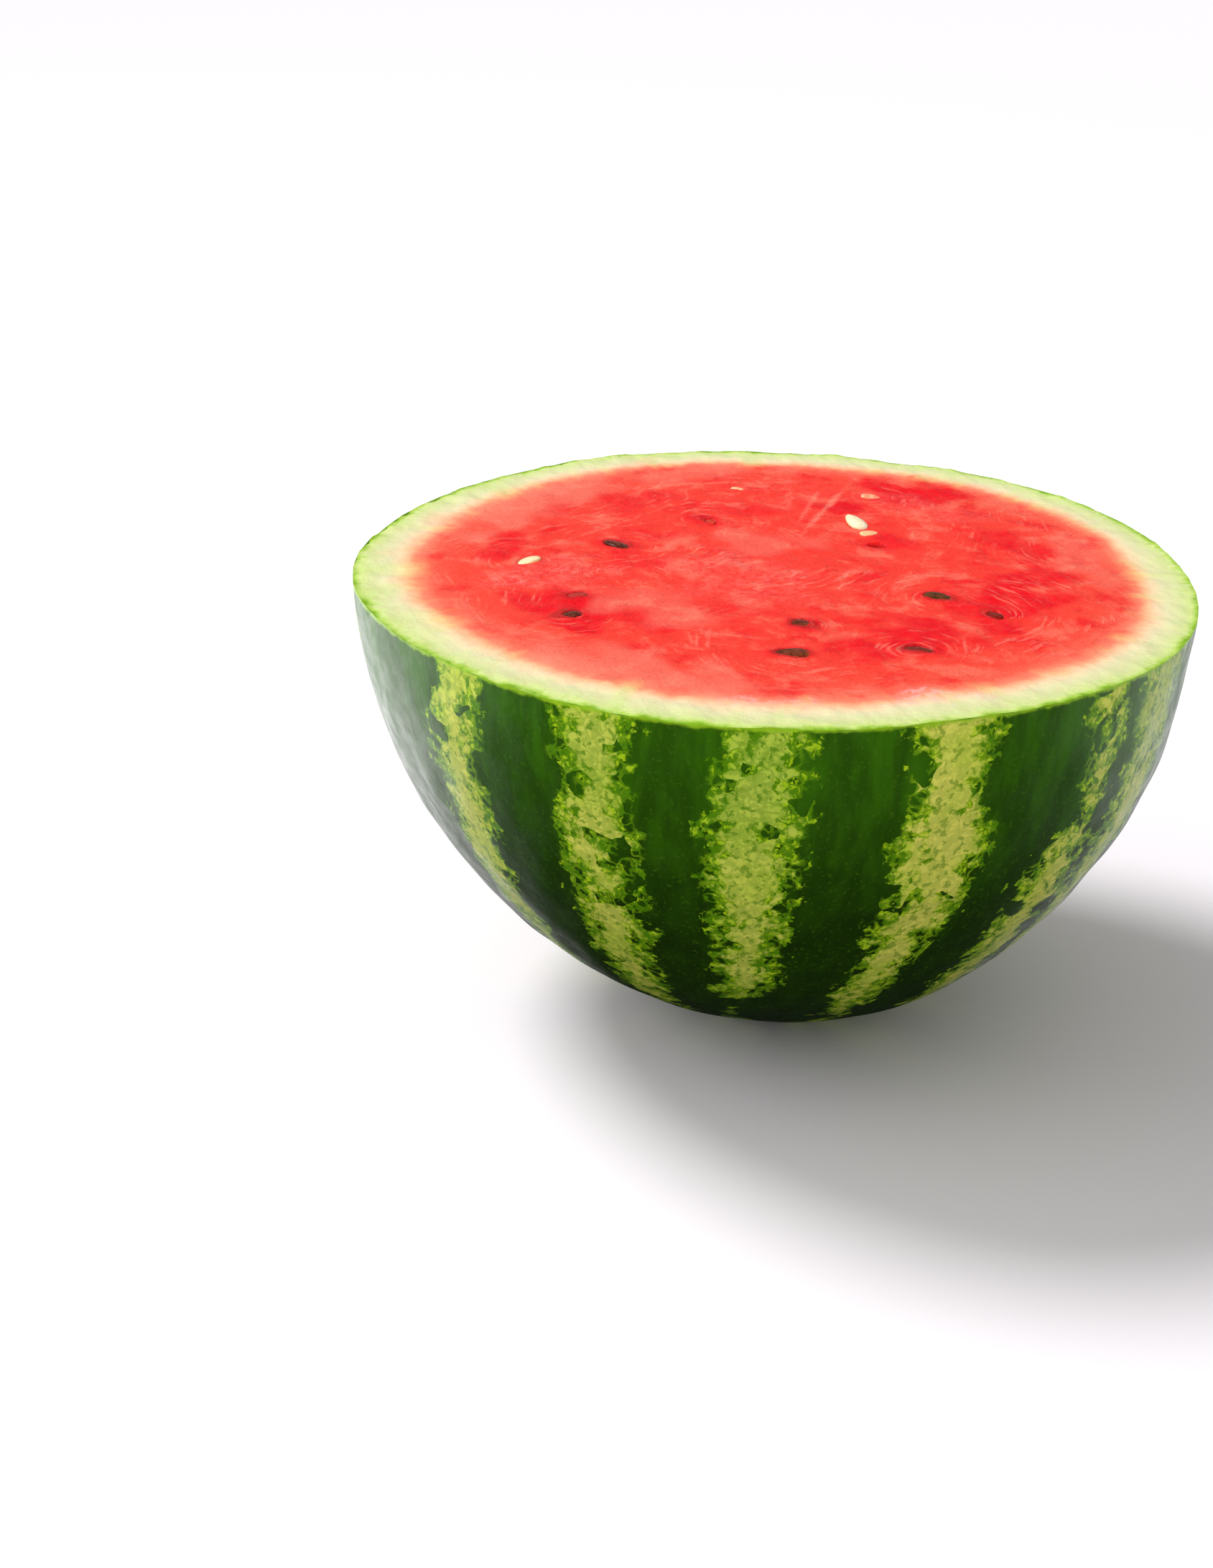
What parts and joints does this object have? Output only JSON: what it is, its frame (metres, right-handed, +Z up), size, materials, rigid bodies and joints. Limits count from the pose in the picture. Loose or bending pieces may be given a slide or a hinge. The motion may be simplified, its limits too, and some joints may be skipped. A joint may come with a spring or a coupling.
{
  "type": "half watermelon",
  "caption": "Half of a round striped watermelon, cut across and standing on its rounded end, with ripe dark and unripe pale seeds set in the red cut face.",
  "frame": {"origin": "middle of the small flat spot under the rounded end, on the surface that the half stands on", "axes": "+Z up, square to the cut face; +X towards the side where the skin swells a little more, to the viewer's right; +Y away from the viewer"},
  "size_m": [0.25, 0.25, 0.1409],
  "materials": {
    "melon": "moist red flesh in a pale green rind, with a smooth waxy skin in dark and pale green stripes",
    "dark_seed": "smooth wet seed coat, near black",
    "brown_seed": "smooth seed coat seen through wet flesh, reddish brown",
    "pale_seed": "smooth wet seed coat, cream"
  },
  "bodies": {
    "root": {"melon_half": "melon", "dark_seed_1": "dark_seed", "dark_seed_2": "dark_seed", "dark_seed_3": "dark_seed", "dark_seed_4": "dark_seed", "dark_seed_5": "dark_seed", "dark_seed_6": "dark_seed", "brown_seed_1": "brown_seed", "brown_seed_2": "brown_seed", "brown_seed_3": "brown_seed", "pale_seed_1": "pale_seed", "pale_seed_2": "pale_seed", "pale_seed_3": "pale_seed", "pale_seed_4": "pale_seed", "pale_seed_5": "pale_seed"}
  },
  "joints": []
}
